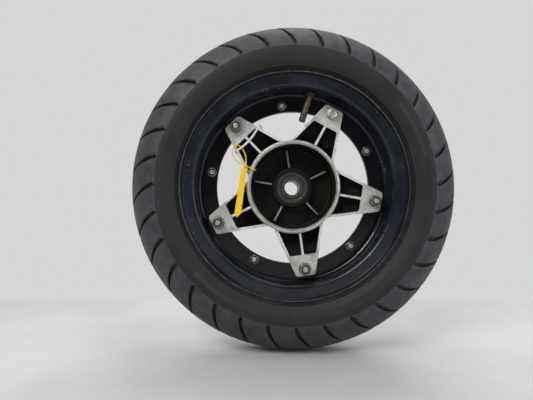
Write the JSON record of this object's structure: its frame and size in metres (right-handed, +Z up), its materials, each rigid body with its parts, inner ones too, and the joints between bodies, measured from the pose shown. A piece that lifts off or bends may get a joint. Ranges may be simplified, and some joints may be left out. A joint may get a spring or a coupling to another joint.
{
  "type": "scooter wheel",
  "caption": "Small tubed scooter wheel: bolted split rim, star-shaped cast hub with an open brake drum, sealed ball bearings, valve with cap and a plastic label.",
  "frame": {"origin": "centre of the wheel, on the axle and on the plane where the two rim halves meet", "axes": "+Y along the axle from the open drum to the closed back, +Z up, +X to the right when looking into the drum"},
  "size_m": [0.419, 0.1022, 0.419],
  "materials": {
    "tyre": "worn, dusty",
    "tube_rubber": "smooth",
    "rim_black": "gloss, chipped",
    "cast_aluminium": "worn casting",
    "iron_liner": "turned, dull",
    "bearing_steel": "ground",
    "seal_rubber": "greasy",
    "cage_steel": "pressed",
    "zinc_steel": "dull zinc",
    "valve_brass": "tarnished",
    "cap_plastic": "dull",
    "tie_nylon": "translucent white",
    "label_plastic": "satin"
  },
  "bodies": {
    "axle_set": {"front_inner_race": "bearing_steel", "rear_inner_race": "bearing_steel", "spacer_tube": "bearing_steel"},
    "front_ball_set": {"front_cage": "cage_steel", "front_balls": "bearing_steel"},
    "rear_ball_set": {"rear_cage": "cage_steel", "rear_balls": "bearing_steel"},
    "valve_cap": {"valve_cap": "cap_plastic"},
    "valve_pin": {"valve_pin": "valve_brass"},
    "label": {"label": "label_plastic"},
    "wheel": {"tyre": "tyre", "inner_tube": "tube_rubber", "rim_front_half": "rim_black", "rim_rear_half": "rim_black", "hub_casting": "cast_aluminium", "brake_liner": "iron_liner", "front_outer_race": "bearing_steel", "rear_outer_race": "bearing_steel", "front_seals": "seal_rubber", "rear_seals": "seal_rubber", "arm_bolts": "zinc_steel", "arm_washers": "zinc_steel", "arm_nuts": "zinc_steel", "arm_hex_bolt": "zinc_steel", "arm_rear_nut": "zinc_steel", "rim_bolts": "zinc_steel", "rim_nuts": "zinc_steel", "valve_stem": "valve_brass", "valve_locknut": "valve_brass", "cable_tie": "tie_nylon"}
  },
  "joints": [
    {"name": "wheel_spin", "type": "hinge", "parent": "axle_set", "child": "wheel", "pos_m": [0, 0, 0], "axis": [0, 1, 0], "continuous": true},
    {"name": "front_ball_set_spin", "type": "hinge", "parent": "axle_set", "child": "front_ball_set", "pos_m": [0, 0, 0], "axis": [0, 1, 0], "continuous": true},
    {"name": "rear_ball_set_spin", "type": "hinge", "parent": "axle_set", "child": "rear_ball_set", "pos_m": [0, 0, 0], "axis": [0, 1, 0], "continuous": true},
    {"name": "cap_pull", "type": "slide", "parent": "wheel", "child": "valve_cap", "axis": [-0.3057, 0, -0.9521], "range_m": [0, 0.012]},
    {"name": "pin_press", "type": "slide", "parent": "wheel", "child": "valve_pin", "axis": [0.3057, 0, 0.9521], "range_m": [0, 0.0012], "stiffness_N_per_m": 400, "springref_m": -0.001},
    {"name": "label_swing", "type": "hinge", "parent": "wheel", "child": "label", "pos_m": [-0.0668, -0.0111, 0.0505], "axis": [0, 1, 0], "range_deg": [-15, 20]}
  ],
  "couplings": [
    {"joint": "front_ball_set_spin", "follows": "wheel_spin", "ratio": 0.60161},
    {"joint": "rear_ball_set_spin", "follows": "wheel_spin", "ratio": 0.60161}
  ]
}
